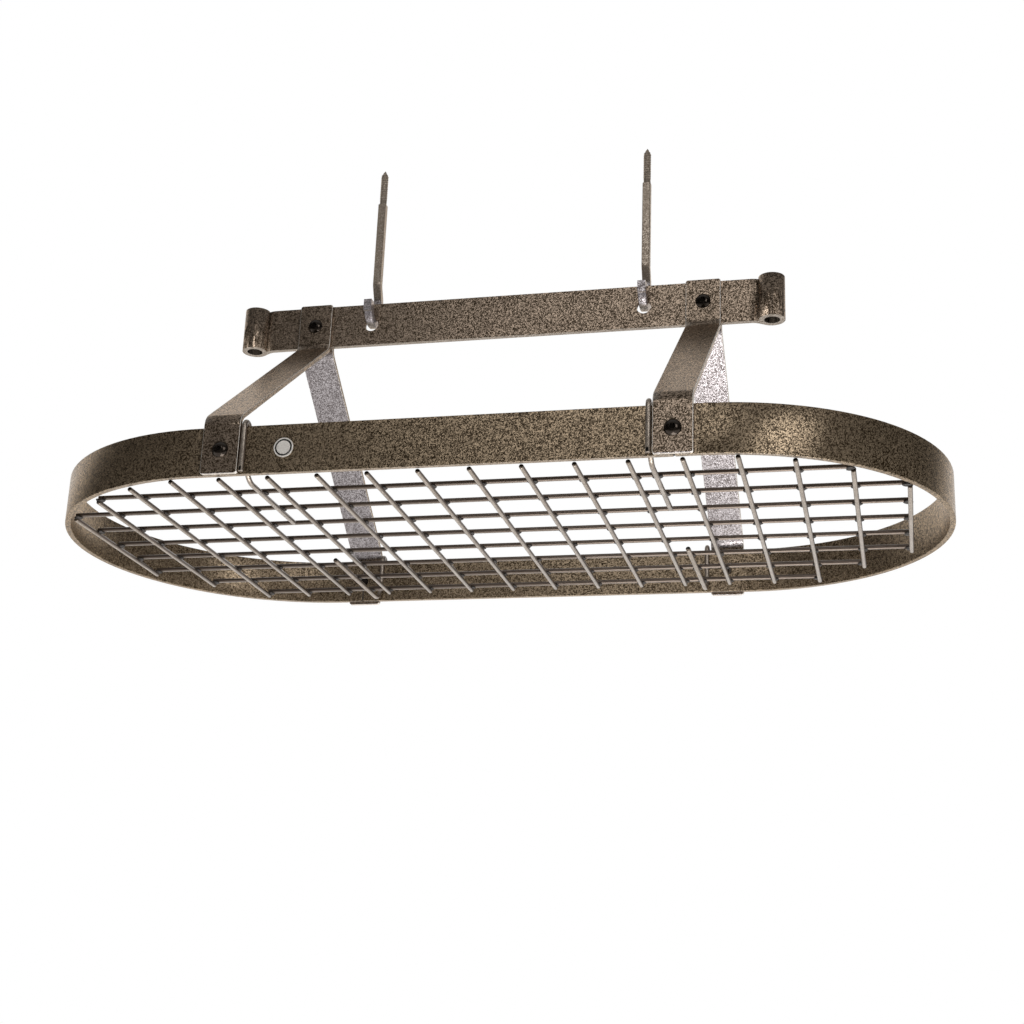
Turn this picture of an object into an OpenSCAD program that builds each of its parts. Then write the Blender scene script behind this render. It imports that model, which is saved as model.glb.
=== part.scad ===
// Hanging pot rack: an oval band of flat bar carried by four straps from a top
// bar with rolled eyes, a removable wire grid on four hooks, and two ceiling hooks.
// X runs along the rack, Y points away from the viewer, Z is up.
// The origin is on the ceiling, midway between the two ceiling hooks.

/* [Ring] */
// outside length of the oval band
ring_length = 954; // [954:1:1100]
// outside width of the oval band
ring_width = 462; // [462:1:520]
// height of the flat bar of the band
band_height = 50; // [45:0.1:56]
// thickness of the flat bar of the band
band_thickness = 6; // [5:0.05:7]
// gap at the two butt joints behind the straps
seam_gap = 1.6; // [0.6:0.1:3]

/* [Straps] */
// width of a strap
strap_width = 38.1; // [32:0.1:40]
// thickness of a strap
strap_thickness = 4.8; // [4:0.1:6]
// distance of the strap centres from the middle of the rack
strap_x = 222.25; // [215:0.25:232]
// inside radius of the two bends
strap_bend = 12.5; // [6:0.5:13]
// corner radius of the tabs
strap_corner = 2.5; // [1:0.5:5]

/* [Top bar] */
// height of the flat bar
bar_height = 50; // [45:0.1:56]
// thickness of the flat bar
bar_thickness = 6; // [5:0.05:7]
// height of the bar's lower edge above the band's lower edge
bar_rise = 236.4; // [200:0.1:280]
// distance of the eye centres from the middle of the rack
eye_x = 296; // [280:1:330]
// bore of the rolled eyes
eye_bore = 16.7; // [14:0.1:20]
// diameter of the two holes for the ceiling hooks
hook_hole = 16; // [15:0.1:18]

/* [Ceiling hooks] */
// distance of the ceiling hooks from the middle of the rack
hook_x = 156.5; // [120:0.5:180]
// side of the square bar of the hooks
hook_bar = 9; // [8:0.1:9.5]
// inside radius of the bowl that carries the top bar
bowl_radius = 12; // [11:0.5:14]
// how far the shank stands behind the top bar
shank_y = 9; // [7:0.5:11]
// height of the ceiling above the band's lower edge
ceiling_rise = 420; // [400:1:600]
// diameter of the round stud that goes into the ceiling
stud_d = 7.9; // [6:0.1:8]
// length of the round part of the stud
stud_length = 38; // [25:1:60]

/* [Grid] */
// spacing of the wires
grid_pitch = 50.8; // [48:0.1:51]
// diameter of the grid wires
wire_d = 4.8; // [3:0.1:5]
// diameter of the hook wires
hook_wire_d = 5.2; // [4:0.1:5.4]
// shift of the grid along the rack
grid_x = 1; // [-1:0.5:1]
// shift of the grid across the rack
grid_y = 8; // [6:0.5:9]
// height of the lower wires' axes against the band's lower edge
grid_z = -0.9; // [-4:0.1:4]
// distance of the grid hooks from the middle of the rack
grid_hook_x = 199.2; // [190:0.1:199.2]

/* [Fasteners and badge] */
// diameter of the bolt shanks
bolt_d = 9.5; // [8:0.1:9.5]
// diameter of the bolt heads
bolt_head_d = 17; // [14:0.1:18]
// height of the bolt heads
bolt_head_h = 5; // [4:0.1:6]
// outside diameter of the plain round badge
badge_d = 20; // [16:0.5:24]
// position of the badge along the front of the band
badge_x = -158; // [-180:1:-120]

/* [Node] */
// which sub-part to draw

/* [Hidden] */
$fn = 96;
steel = [0.39, 0.35, 0.31];
steel_light = [0.52, 0.47, 0.42];
steel_grey = [0.45, 0.43, 0.44];
black = [0.10, 0.09, 0.09];
silver = [0.80, 0.79, 0.76];
wire_grey = [0.66, 0.61, 0.56];

// ring
end_radius = ring_width / 2;
end_x = ring_length / 2 - end_radius;
inner_y = ring_width / 2 - band_thickness;
seam_x = strap_x + 0.7;
bolt_clear = 0.3;
over = 1;
// straight pieces reach this far into the arcs they meet
lap = 0.02;
// the slanted ones of the top bar and the ceiling hooks reach further, a hair inside the faces
slant_lap = 0.3;
slant_inset = 0.01;

// straps: centres of the two bends in the Y-Z plane of a front strap
front_tab_bottom = 0.3;
// the back straps' lower tabs reach a little below the band
back_tab_bottom = -2.5;
low_bend_z = band_height + 0.8;
low_bend_y = -ring_width / 2 + strap_bend;
bar_face = bar_thickness / 2;
up_bend_z = bar_rise + 2.9;
up_bend_y = -bar_face - strap_thickness - strap_bend;
tab_top = bar_rise + bar_height + 1;
mid_radius = strap_bend + strap_thickness / 2;
bend_dy = up_bend_y - low_bend_y;
bend_dz = up_bend_z - low_bend_z;
bend_dist = sqrt(bend_dy * bend_dy + bend_dz * bend_dz);
slope_length = sqrt(bend_dist * bend_dist - 4 * mid_radius * mid_radius);
slope = atan2(bend_dz, bend_dy) - atan2(2 * mid_radius, slope_length);

// top bar: the tail leaves the bar at bow_angle and runs tangent to the eye
bar_mid = bar_rise + bar_height / 2;
eye_inner = eye_bore / 2;
eye_outer = eye_inner + bar_thickness;
eye_mid = eye_inner + bar_thickness / 2;
eye_y = -2;
bow_angle = 35;
bow_radius = 20;
tangent_x = eye_x - eye_mid * sin(bow_angle);
tangent_y = eye_y + eye_mid * cos(bow_angle);
tail_length = tangent_y / sin(bow_angle);
bow_tangent = bow_radius * tan(bow_angle / 2);
bow_x = tangent_x - tail_length * cos(bow_angle) - bow_tangent;
tail_straight = tail_length - bow_tangent;
eye_seam = 0.5;
eye_seam_start = 15;

// ceiling hooks: the bowl is set so that the hole rides on its chamfered edges
hook_half = hook_bar / 2;
hook_chamfer = 0.8;
hang_gap = 0.15;
hole_r = hook_hole / 2;
ride_x = hook_half - hook_chamfer;
ride_z = bar_mid + sqrt(hole_r * hole_r - ride_x * ride_x);
ride_radius = bowl_radius - hang_gap;
bowl_z = ride_z + sqrt(ride_radius * ride_radius - bar_face * bar_face);
bowl_mid = bowl_radius + hook_half;
tip_top = bowl_z + 4.8;
tip_bottom = bowl_z - 9;
tip_proud = 0.5;
jog_angle = 25;
jog_radius = 12;
jog_offset = bowl_mid - shank_y;
jog_straight = (jog_offset - 2 * jog_radius * (1 - cos(jog_angle))) / sin(jog_angle);
jog_height = 2 * jog_radius * sin(jog_angle) + jog_straight * cos(jog_angle);
jog_z = bowl_z + 17;
stud_tip = 7;

// grid
weld_sink = 0.15;
long_z = grid_z + wire_d - weld_sink;
cross_count = 18;
long_count = 8;
cross_half = (cross_count - 1) / 2;
long_half = (long_count - 1) / 2;
wire_end = 3;
front_end = 1.4;
// the long wires end just past the axes of the outermost cross wires they reach
long_past = 0.4;
// the cross wires run on past the first long wire, the outer ones less, inside the band's curve
front_stub = 51;
front_stub_outer = 35.5;
// first and last long wire that the outer cross wires reach, from the outside in
row_span = [[2, 6], [1, 7]];
// outermost cross wire that each long wire reaches
long_outer = [2, 1, 1, 1, 1, 1, 2, 3];
hook_r = hook_wire_d / 2;
hook_z = long_z - wire_d / 2 - hook_r + weld_sink;
hook_side_gap = 0.5;
hook_inner_y = inner_y - hook_side_gap - hook_r;
hook_outer_y = ring_width / 2 + hook_side_gap + hook_r;
// the crown is all but a half circle over the band's edge, with a short flat at its top
crown_gap = 2.4;
crown_flat = 0.4;
crown_bend = (hook_outer_y - hook_inner_y - crown_flat) / 2;
crown_z = band_height + crown_gap + hook_r;
hook_bend = 20;
hook_foot = 2;
front_hook_end = -82.5;
back_hook_end = 53;

// fasteners
head_sphere = (bolt_head_d * bolt_head_d / 4 + bolt_head_h * bolt_head_h) / (2 * bolt_head_h);
head_flat = 0.4;
socket_r = 3.25;
socket_depth = 2.8;
low_bolt_z = band_height / 2;
stack_half = bar_face + strap_thickness;
nut_across = 14.3;
nut_h = 8;
bolt_past = 2.2;
badge_base = 0.5;
badge_lip = 1.1;
badge_face_d = 14;
badge_lip_w = 1.3;
badge_z = 25.6;

// everything is drawn from the band's lower edge, then hung under the ceiling
module hang() { translate([0, -shank_y, -ceiling_rise]) children(); }
module across_y() { rotate([90, 0, 0]) children(); }

// a flat plate standing in X-Z, centred on x, with its front face at y = 0
module plate(w, t, z0, z1, r_bottom, r_top) {
    difference() {
        translate([-w / 2, 0, z0]) cube([w, t, z1 - z0]);
        for (s = [-1, 1]) {
            if (r_bottom > 0) plate_corner(s, -1, w, t, z0, r_bottom);
            if (r_top > 0) plate_corner(s, 1, w, t, z1, r_top);
        }
    }
}
module plate_corner(sx, sz, w, t, z, r) {
    difference() {
        translate([sx * w / 2 - (sx > 0 ? r : over), -over, z - (sz > 0 ? r : over)])
            cube([r + over, t + 2 * over, r + over]);
        translate([sx * (w / 2 - r), t + 2 * over, z - sz * r])
            across_y() cylinder(r = r, h = t + 4 * over);
    }
}

// ring
module ring_half() {
    difference() {
        union() {
            translate([-end_x, -ring_width / 2, 0])
                cube([end_x + seam_x - seam_gap / 2, band_thickness, band_height]);
            translate([-end_x, 0, 0]) rotate([0, 0, 90])
                rotate_extrude(angle = 180)
                    translate([inner_y, 0]) square([band_thickness, band_height]);
            translate([-end_x, inner_y, 0])
                cube([end_x - seam_x - seam_gap / 2, band_thickness, band_height]);
        }
        for (p = [[-strap_x, -1], [strap_x, -1], [-strap_x, 1]])
            translate([p[0], p[1] * (ring_width / 2) + band_thickness + over, low_bolt_z])
                across_y() cylinder(d = bolt_d + 2 * bolt_clear, h = 2 * (band_thickness + over));
    }
}
module ring_half_front_left() { color(steel) hang() ring_half(); }
module ring_half_back_right() { color(steel) hang() rotate([0, 0, 180]) ring_half(); }

// straps
module strap_arc(angle, start) {
    rotate([90, 0, 90]) rotate([0, 0, start]) translate([0, 0, -strap_width / 2])
        rotate_extrude(angle = angle)
            translate([strap_bend, 0]) square([strap_thickness, strap_width]);
}
module front_strap(tab_bottom) {
    difference() {
        union() {
            translate([0, -ring_width / 2 - strap_thickness, 0])
                plate(strap_width, strap_thickness, tab_bottom, low_bend_z, strap_corner, 0);
            translate([0, low_bend_y, low_bend_z]) strap_arc(90 - slope, 90 + slope);
            translate([0, low_bend_y, low_bend_z]) rotate([slope, 0, 0])
                translate([-strap_width / 2, -lap, strap_bend])
                    cube([strap_width, slope_length + 2 * lap, strap_thickness]);
            translate([0, up_bend_y, up_bend_z]) strap_arc(90 - slope, slope - 90);
            translate([0, -stack_half, 0])
                plate(strap_width, strap_thickness, up_bend_z, tab_top, 0, strap_corner);
        }
        translate([0, -ring_width / 2 + over, low_bolt_z])
            across_y() cylinder(d = bolt_d + 2 * bolt_clear, h = strap_thickness + 2 * over);
        translate([0, -bar_face + over, bar_mid])
            across_y() cylinder(d = bolt_d + 2 * bolt_clear, h = strap_thickness + 2 * over);
    }
}
module strap_front_left() {
    color(steel_light) hang() translate([-strap_x, 0, 0]) front_strap(front_tab_bottom);
}
module strap_front_right() {
    color(steel_light) hang() translate([strap_x, 0, 0]) front_strap(front_tab_bottom);
}
module strap_back_left() {
    color(steel_grey) hang() translate([-strap_x, 0, 0]) rotate([0, 0, 180])
        front_strap(back_tab_bottom);
}
module strap_back_right() {
    color(steel_grey) hang() translate([strap_x, 0, 0]) rotate([0, 0, 180])
        front_strap(back_tab_bottom);
}

// top bar: the right end; the left end is its mirror image
module bar_end() {
    translate([0, -bar_face, bar_rise]) cube([bow_x, bar_thickness, bar_height]);
    translate([bow_x, bow_radius, bar_rise]) {
        rotate([0, 0, -90]) rotate_extrude(angle = bow_angle)
            translate([bow_radius - bar_face, 0]) square([bar_thickness, bar_height]);
        rotate([0, 0, bow_angle]) translate([0, -bow_radius, 0]) bar_tail();
    }
}
// straight tail along +X from the bow, then the eye rolled back over its -Y side
module bar_tail() {
    translate([-slant_lap, -bar_face + slant_inset, 0])
        cube([tail_straight + 2 * slant_lap, bar_thickness - 2 * slant_inset, bar_height]);
    translate([tail_straight, -eye_mid, 0]) difference() {
        rotate([0, 0, 90 + eye_seam_start]) rotate_extrude(angle = 360 - eye_seam_start)
            translate([eye_inner, 0]) square([bar_thickness, bar_height]);
        translate([-2 * eye_outer - over, eye_inner - eye_seam, -over])
            cube([2 * eye_outer, eye_outer, bar_height + 2 * over]);
    }
}
module top_bar() {
    color(steel) hang() difference() {
        union() {
            bar_end();
            mirror([1, 0, 0]) bar_end();
        }
        for (x = [-hook_x, hook_x])
            translate([x, bar_face + over, bar_mid])
                across_y() cylinder(d = hook_hole, h = bar_thickness + 2 * over);
        for (x = [-strap_x, strap_x])
            translate([x, bar_face + over, bar_mid])
                across_y() cylinder(d = bolt_d + 2 * bolt_clear, h = bar_thickness + 2 * over);
    }
}

// button-head bolt: head on the -Y side of the plane y = 0, shank towards +Y
module bolt(length) {
    difference() {
        union() {
            rotate([-90, 0, 0]) cylinder(d = bolt_d, h = length);
            intersection() {
                translate([0, head_sphere - bolt_head_h, 0]) sphere(r = head_sphere);
                across_y() cylinder(d = bolt_head_d, h = bolt_head_h - head_flat);
            }
        }
        translate([0, -bolt_head_h + socket_depth, 0])
            across_y() cylinder(r = socket_r, h = bolt_head_h, $fn = 6);
    }
}
module lower_bolts() {
    color(black) hang()
        for (x = [-strap_x, strap_x]) for (a = [0, 180])
            translate([x, 0, low_bolt_z]) rotate([0, 0, a])
                translate([0, -ring_width / 2 - strap_thickness, 0])
                    bolt(strap_thickness + band_thickness - 0.2);
}
module upper_bolts() {
    color(black) hang()
        for (x = [-strap_x, strap_x])
            translate([x, -stack_half, bar_mid]) bolt(2 * stack_half + nut_h + bolt_past);
}
module upper_nuts() {
    color(black) hang()
        for (x = [-strap_x, strap_x])
            translate([x, stack_half + nut_h, bar_mid]) difference() {
                across_y() cylinder(r = nut_across / sqrt(3), h = nut_h, $fn = 6);
                translate([0, over, 0]) across_y() cylinder(d = bolt_d + 2 * bolt_clear, h = nut_h + 2 * over);
            }
}

// plain round badge on the front of the band
module badge_rim() {
    color(silver) hang() translate([badge_x, -ring_width / 2, badge_z]) across_y() {
        cylinder(d = badge_d, h = badge_base);
        difference() {
            cylinder(d = badge_d, h = badge_lip);
            translate([0, 0, -over])
                cylinder(d = badge_d - 2 * badge_lip_w, h = badge_lip + 2 * over);
        }
    }
}
module badge_face() {
    color(silver) hang() translate([badge_x, -ring_width / 2 - badge_base, badge_z])
        across_y() cylinder(d = badge_face_d, h = badge_lip - badge_base);
}

// ceiling hooks of square bar with chamfered edges
module bar_section() {
    polygon([[-hook_half + hook_chamfer, -hook_half], [hook_half - hook_chamfer, -hook_half],
        [hook_half, -hook_half + hook_chamfer], [hook_half, hook_half - hook_chamfer],
        [hook_half - hook_chamfer, hook_half], [-hook_half + hook_chamfer, hook_half],
        [-hook_half, hook_half - hook_chamfer], [-hook_half, -hook_half + hook_chamfer]]);
}
// an arc of the bar in the Y-Z plane about the local origin
module hook_arc(radius, start, angle) {
    rotate([90, 0, 90]) rotate([0, 0, start]) rotate_extrude(angle = angle)
        translate([radius, 0]) bar_section();
}
module hanger() {
    // stud and shank
    translate([0, shank_y, ceiling_rise - over]) cylinder(d = stud_d, h = stud_length + over);
    translate([0, shank_y, ceiling_rise + stud_length])
        cylinder(d1 = stud_d, d2 = 1, h = stud_tip);
    translate([0, shank_y, jog_z + jog_height]) linear_extrude(ceiling_rise - jog_z - jog_height)
        bar_section();
    // jog towards the back
    translate([0, shank_y + jog_radius, jog_z + jog_height])
        hook_arc(jog_radius, 180, jog_angle);
    translate([0, shank_y + jog_radius * (1 - cos(jog_angle)), jog_z + jog_height - jog_radius * sin(jog_angle)])
        rotate([180 + jog_angle, 0, 0]) translate([0, 0, -slant_lap])
            linear_extrude(jog_straight + 2 * slant_lap) scale(1 - slant_inset / hook_half) bar_section();
    translate([0, bowl_mid - jog_radius, jog_z]) hook_arc(jog_radius, 0, jog_angle);
    // back leg, bowl and tip
    translate([0, bowl_mid, bowl_z]) linear_extrude(jog_z - bowl_z) bar_section();
    translate([0, 0, bowl_z]) hook_arc(bowl_mid, 180, 180);
    translate([-hook_half, -bowl_mid - hook_half - tip_proud, tip_bottom])
        cube([hook_bar, hook_bar + tip_proud, tip_top - tip_bottom]);
}
module hanger_left() { color(steel_light) hang() translate([-hook_x, 0, 0]) hanger(); }
module hanger_right() { color(steel_light) hang() translate([hook_x, 0, 0]) hanger(); }

// grid
function row_y(j) = (j - 1 - long_half) * grid_pitch + grid_y;
function wire_x(i) = (i - 1 - cross_half) * grid_pitch + grid_x;
module y_wire(x, y0, y1, z, d) {
    translate([x, y0, z]) rotate([-90, 0, 0]) cylinder(d = d, h = y1 - y0);
}
module grid_cross_wires() {
    color(wire_grey) hang() for (i = [1:cross_count]) {
        out = min(i, cross_count + 1 - i);
        y0 = out < 3 ? row_y(row_span[out - 1][0]) - front_end
            : row_y(1) - (out == 3 ? front_stub_outer : front_stub);
        y1 = out < 3 ? row_y(row_span[out - 1][1]) + wire_end : row_y(long_count) + wire_end;
        y_wire(wire_x(i), y0, y1, grid_z, wire_d);
    }
}
module grid_long_wires() {
    color(wire_grey) hang() for (j = [1:long_count]) {
        x0 = wire_x(long_outer[j - 1]) - long_past;
        x1 = wire_x(cross_count + 1 - long_outer[j - 1]) + long_past;
        translate([x0, row_y(j), long_z]) rotate([0, 90, 0]) cylinder(d = wire_d, h = x1 - x0);
    }
}

// grid hook on the front side: foot outside the band, crown over it, leg under the long wires
module wire_arc(radius, start, angle) {
    rotate([90, 0, 90]) rotate([0, 0, start]) rotate_extrude(angle = angle)
        translate([radius, 0]) circle(r = hook_r);
}
module grid_hook(end_y) {
    y_wire(0, -hook_inner_y + hook_bend, end_y, hook_z, hook_wire_d);
    translate([0, -hook_inner_y + hook_bend, hook_z + hook_bend]) wire_arc(hook_bend, 180, 90);
    translate([0, -hook_inner_y, hook_z + hook_bend])
        cylinder(r = hook_r, h = crown_z - crown_bend - hook_z - hook_bend);
    translate([0, -hook_inner_y - crown_bend, crown_z - crown_bend]) wire_arc(crown_bend, 0, 90);
    y_wire(0, -hook_outer_y + crown_bend, -hook_inner_y - crown_bend, crown_z, hook_wire_d);
    translate([0, -hook_outer_y + crown_bend, crown_z - crown_bend]) wire_arc(crown_bend, 90, 90);
    translate([0, -hook_outer_y, hook_foot])
        cylinder(r = hook_r, h = crown_z - crown_bend - hook_foot);
}
module grid_hook_front_left() {
    color(wire_grey) hang() translate([-grid_hook_x, 0, 0]) grid_hook(front_hook_end);
}
module grid_hook_front_right() {
    color(wire_grey) hang() translate([grid_hook_x, 0, 0]) grid_hook(front_hook_end);
}
module grid_hook_back_left() {
    color(wire_grey) hang() translate([-grid_hook_x, 0, 0]) rotate([0, 0, 180]) grid_hook(-back_hook_end);
}
module grid_hook_back_right() {
    color(wire_grey) hang() translate([grid_hook_x, 0, 0]) rotate([0, 0, 180]) grid_hook(-back_hook_end);
}

ring_half_front_left();
ring_half_back_right();
top_bar();
strap_front_left();
strap_front_right();
strap_back_left();
strap_back_right();
lower_bolts();
upper_bolts();
upper_nuts();
badge_rim();
badge_face();
hanger_left();
hanger_right();
grid_cross_wires();
grid_long_wires();
grid_hook_front_left();
grid_hook_front_right();
grid_hook_back_left();
grid_hook_back_right();
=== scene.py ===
"""Looks for a hanging pot rack: finishes, welds, thread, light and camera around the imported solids.

Everything is in metres in the row frame: the origin is on the ceiling midway between the two
ceiling hooks, +X runs along the rack, +Y points away from the viewer and +Z is up.
"""

import math

import bmesh
import bpy
from mathutils import Matrix, Vector
from mathutils.noise import noise as fractal_noise


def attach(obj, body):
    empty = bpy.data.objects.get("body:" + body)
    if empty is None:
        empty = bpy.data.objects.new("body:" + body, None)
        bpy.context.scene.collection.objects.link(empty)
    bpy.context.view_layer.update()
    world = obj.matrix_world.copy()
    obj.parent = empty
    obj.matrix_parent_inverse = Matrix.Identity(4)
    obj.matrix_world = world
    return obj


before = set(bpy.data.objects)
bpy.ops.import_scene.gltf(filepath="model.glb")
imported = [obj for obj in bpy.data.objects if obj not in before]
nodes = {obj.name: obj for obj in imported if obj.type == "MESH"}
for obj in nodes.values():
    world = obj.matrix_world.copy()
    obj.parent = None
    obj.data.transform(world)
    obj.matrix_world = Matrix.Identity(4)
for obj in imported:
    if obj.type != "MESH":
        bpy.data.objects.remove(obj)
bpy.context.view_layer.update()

MM = 0.001

# ---------------------------------------------------------------- sizes of the CAD that pieces sit on
CEILING_RISE = 420 * MM
SHANK_Y = 9 * MM
GRID_PITCH = 50.8 * MM
GRID_SHIFT = (1 * MM, 8 * MM)
CROSS_COUNT = 18
LONG_COUNT = 8
# outermost cross wire that each long wire reaches, counted from the outside in
LONG_OUTER = (2, 1, 1, 1, 1, 1, 2, 3)
CONTACT_Z = 1.425 * MM
GRID_HOOK_X = 199.2 * MM
FRONT_HOOK_ROWS = (1, 2)
BACK_HOOK_ROWS = (6, 7, 8)
STUD_R = 3.95 * MM
STUD_LENGTH = 38 * MM
STUD_TIP = 7 * MM
HANGER_X = 156.5 * MM
BADGE_PLACE = (-158 * MM, -231 * MM, 25.6 * MM)
BADGE_BASE = 0.5 * MM
BADGE_FACE_R = 7 * MM
BADGE_LIP_R = 8.7 * MM
STRAP_X = 222.25 * MM
LOW_BOLT_Z = -395 * MM
HIGH_BOLT_Z = -158.6 * MM
SOCKET_R = 3.25 * MM
WIRE_Z = -420.9 * MM
GRID_TOP_Z = -413.8 * MM
EYE_X = 296 * MM
EYE_Y = -11 * MM
EYE_BORE_R = 8.35 * MM
BAND_MID_Y = 228 * MM
SEAM_X = 222.95 * MM

RING_NODES = ["ring_half_front_left", "ring_half_back_right"]
STRAP_NODES = ["strap_front_left", "strap_front_right", "strap_back_left", "strap_back_right"]
HANGER_NODES = ["hanger_left", "hanger_right"]
HOOK_NODES = ["grid_hook_front_left", "grid_hook_front_right", "grid_hook_back_left", "grid_hook_back_right"]


# ---------------------------------------------------------------- material helpers
def new_material(name):
    """An empty node material: (material, node tree, its Principled shader)."""
    mat = bpy.data.materials.new(name)
    mat.use_nodes = True
    tree = mat.node_tree
    return mat, tree, tree.nodes["Principled BSDF"]


def add(tree, kind, **values):
    """A node of that kind, with input sockets and properties set by name."""
    node = tree.nodes.new(kind)
    for key, value in values.items():
        if key in node.inputs:
            node.inputs[key].default_value = value
        else:
            setattr(node, key, value)
    return node


def ramp(tree, fac, stops):
    """A colour ramp over fac with (position, (r, g, b)) stops."""
    node = tree.nodes.new("ShaderNodeValToRGB")
    elements = node.color_ramp.elements
    while len(elements) < len(stops):
        elements.new(0.5)
    for element, (place, colour) in zip(elements, stops):
        element.position = place
        element.color = (*colour, 1.0)
    tree.links.new(fac, node.inputs["Fac"])
    return node.outputs["Color"]


def mix(tree, fac, a, b):
    """Colour a blended with colour b by fac; each is a socket or a plain value."""
    node = tree.nodes.new("ShaderNodeMix")
    node.data_type = "RGBA"
    for index, value in ((0, fac), (6, a), (7, b)):
        if isinstance(value, bpy.types.NodeSocket):
            tree.links.new(value, node.inputs[index])
        elif index == 0:
            node.inputs[index].default_value = value
        else:
            node.inputs[index].default_value = (*value, 1.0)
    return node.outputs[2]


def math_node(tree, operation, a, b=None):
    node = tree.nodes.new("ShaderNodeMath")
    node.operation = operation
    for index, value in ((0, a), (1, b)):
        if isinstance(value, bpy.types.NodeSocket):
            tree.links.new(value, node.inputs[index])
        elif value is not None:
            node.inputs[index].default_value = value
    return node.outputs[0]


def noise(tree, where, scale, detail=2.0, rough=0.5):
    node = add(tree, "ShaderNodeTexNoise", Scale=scale, Detail=detail, Roughness=rough)
    tree.links.new(where, node.inputs["Vector"])
    return node.outputs["Fac"]


def cells(tree, where, scale):
    """A random 0 to 1 in each cell of a 3-D Voronoi pattern."""
    node = add(tree, "ShaderNodeTexVoronoi", Scale=scale)
    tree.links.new(where, node.inputs["Vector"])
    split = tree.nodes.new("ShaderNodeSeparateXYZ")
    tree.links.new(node.outputs["Color"], split.inputs["Vector"])
    return split.outputs["X"]


def object_place(tree):
    return tree.nodes.new("ShaderNodeTexCoord").outputs["Object"]


def turned_place(tree):
    """Object coordinates turned off the axes, so that no flat face lies on a plane of the noise's grid."""
    turn = add(tree, "ShaderNodeMapping", Rotation=(0.6, 0.8, 0.4))
    tree.links.new(object_place(tree), turn.inputs["Vector"])
    return turn.outputs["Vector"]


def place_part(tree, axis):
    """The X, Y or Z of the point in the row frame."""
    split = tree.nodes.new("ShaderNodeSeparateXYZ")
    tree.links.new(object_place(tree), split.inputs["Vector"])
    return split.outputs[axis]


def bump(tree, height, strength, distance, shader):
    node = add(tree, "ShaderNodeBump", Strength=strength, Distance=distance)
    tree.links.new(height, node.inputs["Height"])
    tree.links.new(node.outputs["Normal"], shader.inputs["Normal"])


# ---------------------------------------------------------------- materials
# cells per metre of the speckle, and how far its random values are spread
FLECK_SCALE = 1000.0
FLECK_RANGE = (0.0, 0.88)
# steel colours of the narrow faces that look up or down: a painted highlight of the light from below
NARROW_UNDERLIGHT = ((0.2, 0.175, 0.15), (0.5, 0.46, 0.42))
BRIGHT_NARROW_UNDERLIGHT = ((0.5, 0.46, 0.42), (0.9, 0.86, 0.8))
# a painted highlight on the rounded upright edges of the straps
EDGE_HIGHLIGHT = (0.8, 0.75, 0.69)
# painted shade in the bores of the rolled eyes
PAINTED_BORE_SHADE = (0.004, 0.0035, 0.003)
# painted shade in the hex sockets of the bolt heads
PAINTED_SOCKET_SHADE = (0.0004, 0.0003, 0.0003)
# painted shade on the upper part of the wires' cut ends
CUT_END_SHADE = (0.006, 0.005, 0.004)
SHADED_WIRE = (0.13, 0.1, 0.08)
# depths under the ceiling between which a ceiling hook turns to its cooler coat
JOG_DEPTH = (0.118, 0.124)
# how far out along the rack the painted highlight on the band's narrow faces fades to painted shade
BAND_TURN = (0.24, 0.42)


def smooth_mask(tree, value, low, high):
    """0 below low, 1 above high and a soft step between them."""
    node = add(tree, "ShaderNodeMapRange", interpolation_type="SMOOTHSTEP")
    node.inputs["From Min"].default_value = low
    node.inputs["From Max"].default_value = high
    tree.links.new(value, node.inputs["Value"])
    return node.outputs["Result"]


def scaled(tree, value, low, high):
    """A value of 0 to 1 spread over low to high."""
    node = add(tree, "ShaderNodeMapRange")
    node.inputs["To Min"].default_value = low
    node.inputs["To Max"].default_value = high
    tree.links.new(value, node.inputs["Value"])
    return node.outputs["Result"]


def facing(tree, axis):
    """The part of the surface normal along X, Y or Z of the row frame."""
    split = tree.nodes.new("ShaderNodeSeparateXYZ")
    coords = tree.nodes.new("ShaderNodeTexCoord")
    tree.links.new(coords.outputs["Normal"], split.inputs["Vector"])
    return split.outputs[axis]


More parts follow.
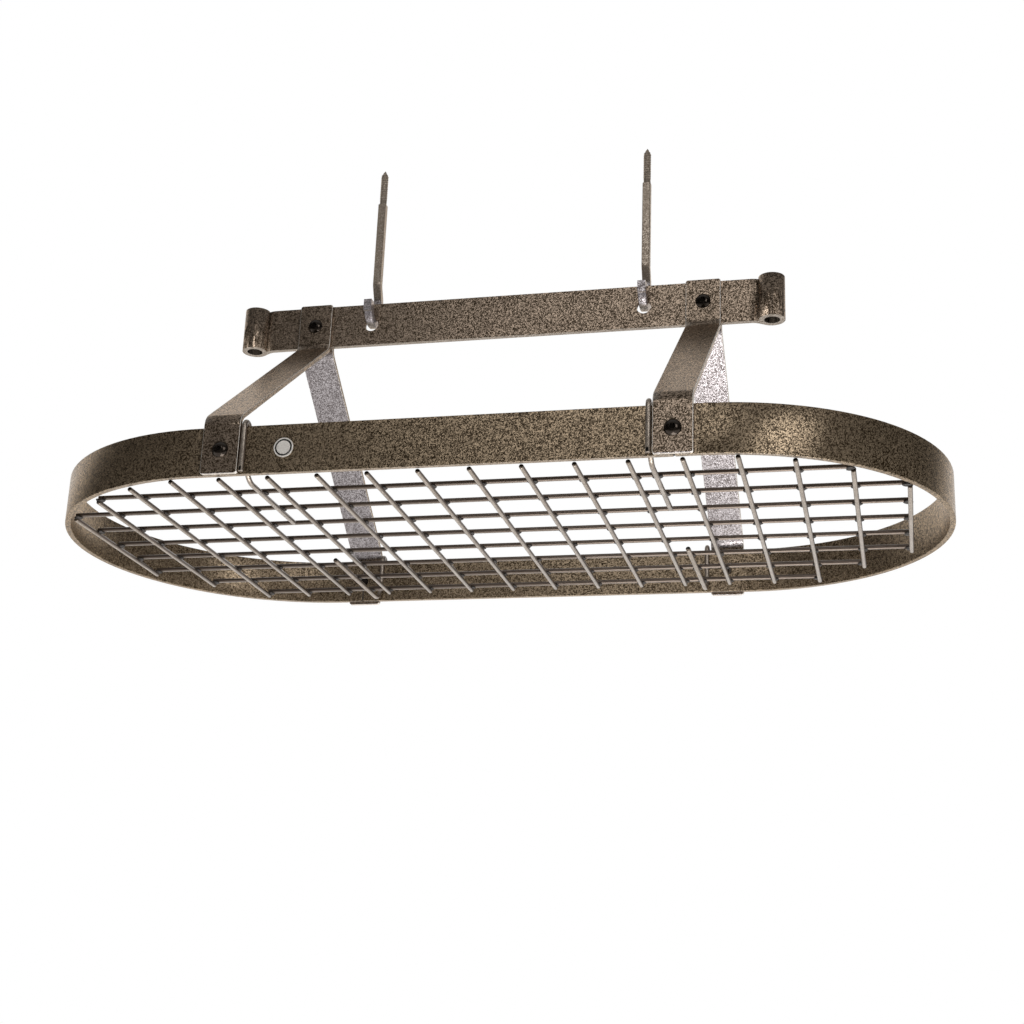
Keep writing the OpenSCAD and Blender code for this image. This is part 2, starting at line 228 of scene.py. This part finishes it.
def speckled_coat(name, ground, fleck, cool=None, cool_where=None, steel=NARROW_UNDERLIGHT, narrow_metal=0.3, narrow_light_where=None,
                  black=None, edges=False):
    """A baked-on hammered coat: metal flecks about 1 mm across over a dark brown ground.

    The narrow faces of the bar, which look up or down, take the steel colours and metallic up to the
    given amount where the given mask is 1: a painted highlight of the light from below. Where cool
    is given, as (ground, fleck), it takes over where cool_where(tree) is 1. Where black(tree) is 1
    the coat is matt black, as painted shade. With edges, the rounded upright edges get a painted
    highlight.
    """
    mat, tree, shader = new_material(name)
    where = turned_place(tree)
    flecks = cells(tree, where, FLECK_SCALE)
    clouds = noise(tree, where, 30.0, detail=3.0)
    drift = math_node(tree, "MULTIPLY", math_node(tree, "SUBTRACT", clouds, 0.5), 0.15)
    spread = smooth_mask(tree, math_node(tree, "ADD", flecks, drift), 0.15, 1.0)
    field = scaled(tree, spread, *FLECK_RANGE)
    colour = mix(tree, field, ground, fleck)
    if cool:
        colour = mix(tree, cool_where(tree), colour, mix(tree, field, *cool))
    narrow = smooth_mask(tree, math_node(tree, "ABSOLUTE", facing(tree, "Z")), 0.85, 0.97)
    if narrow_light_where:
        narrow = math_node(tree, "MULTIPLY", narrow, narrow_light_where(tree))
    # painted highlight of the light from below on the narrow faces
    colour = mix(tree, narrow, colour, mix(tree, field, *steel))
    metallic = math_node(tree, "MAXIMUM", scaled(tree, field, 0.3, 0.65), scaled(tree, narrow, 0.0, narrow_metal))
    gloss = scaled(tree, field, 0.36, 0.24)
    if edges:
        # a painted highlight on the rounded upright edges
        painted_edge_glint = rounded_edge(tree)
        colour = mix(tree, painted_edge_glint, colour, EDGE_HIGHLIGHT)
        metallic = math_node(tree, "SUBTRACT", metallic, scaled(tree, painted_edge_glint, 0.0, 0.6))
    if black:
        dark = black(tree)
        colour = mix(tree, dark, colour, PAINTED_BORE_SHADE)
        metallic = math_node(tree, "SUBTRACT", metallic, dark)
        gloss = math_node(tree, "MAXIMUM", gloss, scaled(tree, dark, 0.0, 0.7))
    tree.links.new(colour, shader.inputs["Base Color"])
    tree.links.new(metallic, shader.inputs["Metallic"])
    tree.links.new(gloss, shader.inputs["Roughness"])
    shader.inputs["Specular Tint"].default_value = (1.0, 0.8, 0.6, 1.0)
    bump(tree, noise(tree, where, FLECK_SCALE, detail=1.0), 0.25, 0.2 * MM, shader)
    return mat


def rounded_edge(tree):
    """1 on the rounding between a front or back face and a side face."""
    sideways = math_node(tree, "ABSOLUTE", facing(tree, "X"))
    off_front = smooth_mask(tree, sideways, 0.1, 0.35)
    off_side = smooth_mask(tree, sideways, 0.8, 0.97)
    return math_node(tree, "SUBTRACT", off_front, off_side)


def looking_down(tree):
    return smooth_mask(tree, math_node(tree, "MULTIPLY", facing(tree, "Z"), -1.0), 0.2, 0.5)


def below_jog(tree):
    """1 on the part of a ceiling hook that lies below its bend."""
    return smooth_mask(tree, math_node(tree, "MULTIPLY", place_part(tree, "Z"), -1.0), *JOG_DEPTH)


def off_the_ends(tree):
    """1 along the middle of the rack, falling to 0.1 where the band turns at its two ends."""
    outward = math_node(tree, "ABSOLUTE", place_part(tree, "X"))
    return scaled(tree, smooth_mask(tree, outward, *BAND_TURN), 1.0, 0.1)


def inside_eyes(tree):
    """1 in the bores of the two rolled eyes, where the bar's coat is painted matt black as painted shade."""
    dx = math_node(tree, "SUBTRACT", math_node(tree, "ABSOLUTE", place_part(tree, "X")), EYE_X)
    dy = math_node(tree, "SUBTRACT", place_part(tree, "Y"), EYE_Y)
    square = math_node(tree, "ADD", math_node(tree, "MULTIPLY", dx, dx), math_node(tree, "MULTIPLY", dy, dy))
    outside = smooth_mask(tree, math_node(tree, "SQRT", square), EYE_BORE_R + 0.1 * MM, EYE_BORE_R + 0.6 * MM)
    return math_node(tree, "SUBTRACT", 1.0, outside)


def in_sockets(tree):
    """1 inside the hex sockets of the bolt heads, which are painted near black as painted shade."""
    dx = math_node(tree, "SUBTRACT", math_node(tree, "ABSOLUTE", place_part(tree, "X")), STRAP_X)
    z = place_part(tree, "Z")
    low = math_node(tree, "ABSOLUTE", math_node(tree, "SUBTRACT", z, LOW_BOLT_Z))
    high = math_node(tree, "ABSOLUTE", math_node(tree, "SUBTRACT", z, HIGH_BOLT_Z))
    dz = math_node(tree, "MINIMUM", low, high)
    square = math_node(tree, "ADD", math_node(tree, "MULTIPLY", dx, dx), math_node(tree, "MULTIPLY", dz, dz))
    outside = smooth_mask(tree, math_node(tree, "SQRT", square), SOCKET_R - 0.3 * MM, SOCKET_R + 0.1 * MM)
    return math_node(tree, "SUBTRACT", 1.0, outside)


def black_bolt():
    mat, tree, shader = new_material("bolt_black_oxide")
    where = object_place(tree)
    patches = noise(tree, where, 260.0, detail=3.0)
    colour = ramp(tree, patches, [(0.35, (0.003, 0.0023, 0.0018)), (0.7, (0.012, 0.009, 0.007))])
    inside = in_sockets(tree)
    # the sockets are painted near black: painted shade
    tree.links.new(mix(tree, inside, colour, PAINTED_SOCKET_SHADE), shader.inputs["Base Color"])
    gloss = math_node(tree, "MAXIMUM", scaled(tree, patches, 0.1, 0.22), inside)
    tree.links.new(gloss, shader.inputs["Roughness"])
    shader.inputs["Specular Tint"].default_value = (1.0, 0.82, 0.68, 1.0)
    return mat


def silver_badge():
    mat, tree, shader = new_material("badge_silver_plate")
    where = object_place(tree)
    stretch = add(tree, "ShaderNodeMapping")
    stretch.inputs["Scale"].default_value = (1.0, 1.0, 9.0)
    tree.links.new(where, stretch.inputs["Vector"])
    lines = noise(tree, stretch.outputs["Vector"], 420.0, detail=2.0)
    colour = ramp(tree, lines, [(0.3, (0.78, 0.73, 0.67)), (0.7, (0.95, 0.9, 0.84))])
    tree.links.new(colour, shader.inputs["Base Color"])
    tree.links.new(scaled(tree, lines, 0.3, 0.42), shader.inputs["Roughness"])
    shader.inputs["Metallic"].default_value = 0.15
    return mat


def groove_black():
    mat, tree, shader = new_material("badge_groove_black")
    where = object_place(tree)
    dust = noise(tree, where, 900.0)
    colour = ramp(tree, dust, [(0.4, (0.008, 0.007, 0.006)), (0.7, (0.03, 0.027, 0.024))])
    tree.links.new(colour, shader.inputs["Base Color"])
    shader.inputs["Roughness"].default_value = 0.6
    return mat


def weld_scale_and_shade():
    """The welds' near black with rusty brown patches: partly burnt scale, partly painted shade."""
    mat, tree, shader = new_material("weld_scale_and_shade")
    where = object_place(tree)
    patches = noise(tree, where, 900.0, detail=3.0)
    colour = ramp(tree, patches, [(0.35, (0.008, 0.006, 0.005)), (0.65, (0.045, 0.034, 0.026))])
    tree.links.new(colour, shader.inputs["Base Color"])
    shader.inputs["Roughness"].default_value = 0.55
    bump(tree, patches, 0.3, 0.2 * MM, shader)
    return mat


def wire_coat(name, end_axis, tones, shade_axis, shade_sign, shade_from, metal):
    """The wires' coat between two tones, with painted shade on the upper part of the cut ends.

    The ends face along end_axis. The coat is dark on the side that looks along shade_axis, in the
    direction of shade_sign, from where the normal has shade_from along it.
    """
    mat, tree, shader = new_material(name)
    where = turned_place(tree)
    grain = noise(tree, where, 700.0, detail=2.0, rough=0.6)
    clouds = noise(tree, where, 40.0, detail=2.0)
    drift = math_node(tree, "MULTIPLY", math_node(tree, "SUBTRACT", clouds, 0.5), 0.3)
    field = math_node(tree, "ADD", grain, drift)
    coat = mix(tree, smooth_mask(tree, field, 0.34, 0.68), *tones)
    turned = math_node(tree, "MULTIPLY", facing(tree, shade_axis), shade_sign)
    shade = smooth_mask(tree, turned, shade_from, shade_from + 0.4)
    coat = mix(tree, shade, coat, SHADED_WIRE)
    along = math_node(tree, "ABSOLUTE", facing(tree, end_axis))
    height = place_part(tree, "Z")
    upper = smooth_mask(tree, height, WIRE_Z - 1.0 * MM, WIRE_Z - 0.2 * MM)
    # the legs of the hooks, which rise above the grid, have no cut end
    above_grid = smooth_mask(tree, height, GRID_TOP_Z, GRID_TOP_Z + 0.6 * MM)
    cut_zone = math_node(tree, "SUBTRACT", upper, above_grid)
    # painted shade: the upper part of the cut ends is painted dark
    cut = math_node(tree, "MULTIPLY", smooth_mask(tree, along, 0.8, 0.9), cut_zone)
    tree.links.new(mix(tree, cut, coat, CUT_END_SHADE), shader.inputs["Base Color"])
    shader.inputs["Roughness"].default_value = 0.34
    shader.inputs["Metallic"].default_value = metal
    bump(tree, grain, 0.15, 0.1 * MM, shader)
    return mat


def pale_floor():
    mat, tree, shader = new_material("studio_floor")
    where = object_place(tree)
    colour = ramp(tree, noise(tree, where, 3.0), [(0.3, (0.86, 0.86, 0.86)), (0.7, (0.9, 0.9, 0.9))])
    tree.links.new(colour, shader.inputs["Base Color"])
    shader.inputs["Roughness"].default_value = 0.9
    path = tree.nodes.new("ShaderNodeLightPath")
    white = add(tree, "ShaderNodeEmission")
    lit = smooth_mask(tree, place_part(tree, "Y"), -3.4, -1.9)
    tree.links.new(scaled(tree, lit, 0.04, 1.0), white.inputs["Strength"])
    choose = tree.nodes.new("ShaderNodeMixShader")
    tree.links.new(path.outputs["Is Glossy Ray"], choose.inputs["Fac"])
    tree.links.new(shader.outputs["BSDF"], choose.inputs[1])
    tree.links.new(white.outputs["Emission"], choose.inputs[2])
    tree.links.new(choose.outputs["Shader"], tree.nodes["Material Output"].inputs["Surface"])
    return mat


# ---------------------------------------------------------------- finishing the CAD nodes
def finish_node(name, mat, edge=None, segments=3):
    """Gives a CAD node its material, and rounds its sharp edges by edge metres."""
    obj = nodes[name]
    for material_slot in obj.material_slots:
        material_slot.material = mat
    if edge:
        weld = obj.modifiers.new("weld", "WELD")
        weld.merge_threshold = 1e-6
        flat = obj.modifiers.new("join_flats", "DECIMATE")
        flat.decimate_type = "DISSOLVE"
        flat.angle_limit = math.radians(0.2)
        flat.delimit = {"NORMAL"}
        round_off = obj.modifiers.new("round_edges", "BEVEL")
        round_off.width = edge
        round_off.segments = segments
        round_off.limit_method = "ANGLE"
        round_off.angle_limit = math.radians(40)
        round_off.harden_normals = True


BROWN_GROUND = (0.02, 0.011, 0.003)
BROWN_FLECK = (0.47, 0.36, 0.245)
BAR_FLECK = (0.47, 0.365, 0.28)
COOL_GROUND = (0.13, 0.115, 0.12)
COOL_FLECK = (0.6, 0.56, 0.57)
COOL = (COOL_GROUND, COOL_FLECK)
# the narrow faces of band, bar and straps carry a painted highlight of the light from below; on the band it
# fades to painted shade at the two ends
band_coat = speckled_coat("band_coat", BROWN_GROUND, BROWN_FLECK, narrow_metal=0.8, narrow_light_where=off_the_ends)
# the bores of the rolled eyes are painted matt black: painted shade
bar_coat = speckled_coat("top_bar_coat", BROWN_GROUND, BAR_FLECK, narrow_metal=0.6, black=inside_eyes)
# faces of the straps that look down are painted the cooler grey-violet of the light from below: painted light
strap_coat = speckled_coat("strap_coat", BROWN_GROUND, BAR_FLECK, COOL, looking_down,
                           steel=BRIGHT_NARROW_UNDERLIGHT, narrow_metal=0.5, edges=True)
hanger_coat = speckled_coat("hanger_coat", (0.22, 0.175, 0.135), (0.5, 0.43, 0.36), COOL, below_jog)
bolt_mat = black_bolt()
badge_mat = silver_badge()

for ring_name in RING_NODES:
    finish_node(ring_name, band_coat, edge=1.0 * MM)
finish_node("top_bar", bar_coat, edge=1.0 * MM)
for strap_name in STRAP_NODES:
    finish_node(strap_name, strap_coat, edge=0.9 * MM)
for hanger_name in HANGER_NODES:
    finish_node(hanger_name, hanger_coat, edge=0.3 * MM, segments=2)
for bolt_name in ("lower_bolts", "upper_bolts", "upper_nuts"):
    finish_node(bolt_name, bolt_mat, edge=0.25 * MM, segments=2)
for badge_name in ("badge_rim", "badge_face"):
    finish_node(badge_name, badge_mat, edge=0.15 * MM, segments=2)
LIGHT_WIRE = ((0.25, 0.205, 0.165), (0.47, 0.405, 0.34))
# the long wires take darker copies of the same wire tones: painted shade
SHADED_LONG_WIRE_TONES = ((0.2, 0.165, 0.135), (0.4, 0.345, 0.295))
cross_coat = wire_coat("cross_wire_coat", "Y", LIGHT_WIRE, "X", 1.0, 0.45, 0.6)
long_coat = wire_coat("long_wire_coat", "X", SHADED_LONG_WIRE_TONES, "Y", -1.0, 0.2, 0.7)
hook_coat = wire_coat("hook_wire_coat", "Y", LIGHT_WIRE, "X", 1.0, 0.6, 0.6)
finish_node("grid_cross_wires", cross_coat, edge=0.7 * MM)
finish_node("grid_long_wires", long_coat, edge=0.3 * MM, segments=2)
for hook_name in HOOK_NODES:
    finish_node(hook_name, hook_coat, edge=0.3 * MM, segments=2)


# ---------------------------------------------------------------- pieces added to the CAD
def hung(x, y, z):
    """A point given from the band's lower edge, moved to where the rack hangs under the ceiling."""
    return Vector((x, y - SHANK_Y, z - CEILING_RISE))


def mesh_piece(name, shape, mat, body, smooth=True):
    """A bmesh turned into a named object with its material, body and finish slot."""
    mesh = bpy.data.meshes.new(name)
    shape.to_mesh(mesh)
    shape.free()
    if smooth:
        mesh.shade_smooth()
    mesh.materials.append(mat)
    obj = bpy.data.objects.new(name, mesh)
    bpy.context.scene.collection.objects.link(obj)
    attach(obj, body)
    return obj


def crossings():
    """Every point where two wires of the grid are welded, hooks among them.

    At the two ends of a long wire the bead sits on the inner side of the crossing only.
    """
    end_shift = 2.2 * MM
    points = []
    cross_half = (CROSS_COUNT - 1) / 2
    long_half = (LONG_COUNT - 1) / 2
    rows = [(j - long_half) * GRID_PITCH + GRID_SHIFT[1] for j in range(LONG_COUNT)]
    for j, y in enumerate(rows):
        for i in range(CROSS_COUNT):
            from_end = min(i + 1, CROSS_COUNT - i)
            if from_end >= LONG_OUTER[j]:
                inward = math.copysign(end_shift, cross_half - i) if from_end == LONG_OUTER[j] else 0.0
                points.append(hung((i - cross_half) * GRID_PITCH + GRID_SHIFT[0] + inward, y, CONTACT_Z))
    for x in (-GRID_HOOK_X, GRID_HOOK_X):
        for row in FRONT_HOOK_ROWS + BACK_HOOK_ROWS:
            points.append(hung(x, rows[row - 1], CONTACT_Z))
    return points


def weld_beads(mat):
    """A small uneven bead squeezed out between the two wires at each crossing."""
    half_length = 4.9 * MM
    half_width = 4.1 * MM
    half_height = 1.9 * MM
    unevenness = 0.35
    shape = bmesh.new()
    for point in crossings():
        bead = bmesh.ops.create_icosphere(shape, subdivisions=3, radius=1.0)["verts"]
        for vert in bead:
            swell = 1.0 + unevenness * fractal_noise(vert.co * 1.3 + point * 900.0)
            along = Vector((vert.co.x * half_length, vert.co.y * half_width, vert.co.z * half_height))
            vert.co = point + along * swell
    return mesh_piece("weld_beads", shape, mat, "grid")


def seam_welds(mat):
    """Lumpy beads in the two butt joints of the band, above and below the bolt there."""
    half_width = 0.95 * MM
    half_depth = 2.75 * MM
    half_height = 8.2 * MM
    unevenness = 0.08
    shape = bmesh.new()
    for side in (-1, 1):
        for z in (8.9 * MM, 41.1 * MM):
            centre = hung(-side * SEAM_X, side * BAND_MID_Y, z)
            bead = bmesh.ops.create_icosphere(shape, subdivisions=4, radius=1.0)["verts"]
            for vert in bead:
                swell = 1.0 + unevenness * fractal_noise(vert.co * 2.5 + centre * 700.0)
                # blunt ends: the bead keeps its width over most of its height
                blunt = Vector([math.copysign(abs(part) ** 0.3, part) for part in vert.co])
                size = Vector((blunt.x * half_width, blunt.y * half_depth, blunt.z * half_height))
                vert.co = centre + size * swell
    return mesh_piece("seam_welds", shape, mat, "rack")


def stud_thread(name, x, mat):
    """The ridge of a wood thread: a helix up the round stud that fades out along its point."""
    pitch = 3.0 * MM
    ridge = 0.4 * MM
    half_root = 0.8 * MM
    half_crest = 0.12 * MM
    sink = 0.15 * MM
    steps_per_turn = 32
    start_z = 4 * MM
    run = STUD_LENGTH + STUD_TIP - start_z - 1.5 * MM
    count = int(run / pitch * steps_per_turn)
    shape = bmesh.new()
    rings = []
    for step in range(count + 1):
        angle = 2 * math.pi * step / steps_per_turn
        z = start_z + run * step / count
        into_tip = max(0.0, z - STUD_LENGTH) / STUD_TIP
        core = STUD_R + (0.5 * MM - STUD_R) * into_tip
        fade = min(1.0, step / steps_per_turn, (count - step) / steps_per_turn)
        crest = core + ridge * fade
        out = Vector((math.cos(angle), math.sin(angle), 0))
        base = Vector((x, 0, z))
        root = core - sink
        profile = ((root, -half_root), (crest, -half_crest), (crest, half_crest), (root, half_root))
        rings.append([shape.verts.new(base + out * r + Vector((0, 0, dz))) for r, dz in profile])
    for a, b in zip(rings, rings[1:]):
        for k in range(4):
            n = (k + 1) % 4
            shape.faces.new((a[k], a[n], b[n], b[k]))
    shape.faces.new(rings[0][::-1])
    shape.faces.new(rings[-1])
    bmesh.ops.recalc_face_normals(shape, faces=shape.faces)
    return mesh_piece(name, shape, mat, "hangers", smooth=False)


def badge_groove(mat):
    """The dark ring between the badge's rim and its face: a shallow rounded trough."""
    depth = 0.12 * MM
    rise = 0.3 * MM
    around = 72
    across = 6
    centre = hung(*BADGE_PLACE)
    shape = bmesh.new()
    loops = []
    for k in range(across + 1):
        share = k / across
        r = BADGE_FACE_R + (BADGE_LIP_R - BADGE_FACE_R) * share
        y = -BADGE_BASE - depth - rise * (2 * share - 1) ** 2
        loop = []
        for step in range(around):
            angle = 2 * math.pi * step / around
            loop.append(shape.verts.new(centre + Vector((r * math.cos(angle), y, r * math.sin(angle)))))
        loops.append(loop)
    back = []
    for r in (BADGE_LIP_R, BADGE_FACE_R):
        loop = []
        for step in range(around):
            angle = 2 * math.pi * step / around
            around_point = Vector((r * math.cos(angle), -BADGE_BASE, r * math.sin(angle)))
            loop.append(shape.verts.new(centre + around_point))
        back.append(loop)
    loops += back
    for a, b in zip(loops, loops[1:] + loops[:1]):
        for step in range(around):
            after = (step + 1) % around
            shape.faces.new((a[step], a[after], b[after], b[step]))
    bmesh.ops.recalc_face_normals(shape, faces=shape.faces)
    return mesh_piece("badge_groove", shape, mat, "rack")


# the welds' near black is partly burnt scale and partly painted shade
scale_and_shade_mat = weld_scale_and_shade()
weld_beads(scale_and_shade_mat)
seam_welds(scale_and_shade_mat)
stud_thread("stud_thread_left", -HANGER_X, hanger_coat)
stud_thread("stud_thread_right", HANGER_X, hanger_coat)
badge_groove(groove_black())


# ---------------------------------------------------------------- light, floor and camera
WHITE = (1.0, 1.0, 1.0)
FLOOR_Z = -2.44
CAMERA_PLACE = (0.42501, -1.68032, -0.96591)
CAMERA_LENS = 59.35
# degrees the camera is turned to the left, tipped up and rolled
HEADING = 13.747
TILT_UP = 18.507
ROLL = 2.248


def white_world(behind, ahead, overhead):
    """Pure white for the camera; for other rays a white backdrop behind and dim space ahead."""
    world = bpy.data.worlds.new("studio")
    bpy.context.scene.world = world
    world.use_nodes = True
    tree = world.node_tree
    tree.nodes.clear()
    split = tree.nodes.new("ShaderNodeSeparateXYZ")
    tree.links.new(tree.nodes.new("ShaderNodeTexCoord").outputs["Generated"], split.inputs["Vector"])
    side = math_node(tree, "MULTIPLY", split.outputs["X"], -0.35)
    backdrop = smooth_mask(tree, math_node(tree, "ADD", split.outputs["Y"], side), 0.35, 0.8)
    above = scaled(tree, smooth_mask(tree, split.outputs["Z"], 0.5, 1.0), 0.0, overhead)
    strength = math_node(tree, "ADD", scaled(tree, backdrop, ahead, behind), above)
    path = tree.nodes.new("ShaderNodeLightPath")
    seen = add(tree, "ShaderNodeBackground", Color=(*WHITE, 1.0), Strength=1.0)
    light = add(tree, "ShaderNodeBackground", Color=(*WHITE, 1.0))
    tree.links.new(strength, light.inputs["Strength"])
    choose = tree.nodes.new("ShaderNodeMixShader")
    out = tree.nodes.new("ShaderNodeOutputWorld")
    tree.links.new(path.outputs["Is Camera Ray"], choose.inputs["Fac"])
    tree.links.new(light.outputs["Background"], choose.inputs[1])
    tree.links.new(seen.outputs["Background"], choose.inputs[2])
    tree.links.new(choose.outputs["Shader"], out.inputs["Surface"])


def soft_light(name, place, target, size, power):
    data = bpy.data.lights.new(name, "AREA")
    data.shape = "RECTANGLE"
    data.size, data.size_y = size
    data.energy = power
    data.color = WHITE
    obj = bpy.data.objects.new(name, data)
    bpy.context.scene.collection.objects.link(obj)
    obj.location = place
    obj.rotation_euler = (Vector(target) - Vector(place)).to_track_quat("-Z", "Y").to_euler()
    obj.visible_camera = False


def studio_floor():
    mesh = bpy.data.meshes.new("floor")
    shape = bmesh.new()
    bmesh.ops.create_grid(shape, x_segments=4, y_segments=4, size=14.0)
    shape.to_mesh(mesh)
    shape.free()
    mesh.materials.append(pale_floor())
    floor = bpy.data.objects.new("floor", mesh)
    floor.location = (0, 0, FLOOR_Z)
    bpy.context.scene.collection.objects.link(floor)


def photo_camera():
    """The photograph's viewing angle: from below and a little to the right, rolled by about two degrees."""
    data = bpy.data.cameras.new("camera")
    data.sensor_width = 36.0
    data.lens = CAMERA_LENS
    cam = bpy.data.objects.new("camera", data)
    bpy.context.scene.collection.objects.link(cam)
    heading = Matrix.Rotation(math.radians(HEADING), 4, "Z")
    tilt_up = Matrix.Rotation(math.radians(90 + TILT_UP), 4, "X")
    roll = Matrix.Rotation(math.radians(ROLL), 4, "Z")
    cam.matrix_world = Matrix.Translation(CAMERA_PLACE) @ heading @ tilt_up @ roll
    bpy.context.scene.camera = cam


rack_middle = (0, 0, -0.3)
white_world(1.25, 0.02, 0.4)
soft_light("floor_bounce", (0.35, -0.35, -2.35), rack_middle, (1.7, 1.7), 55)
soft_light("front_right_box", (1.6, -1.9, 0.3), rack_middle, (0.9, 1.2), 12)
soft_light("front_fill", (-0.1, -3.2, 1.2), rack_middle, (1.7, 1.2), 13)
studio_floor()
photo_camera()

view = bpy.context.scene.view_settings
view.view_transform = "Standard"
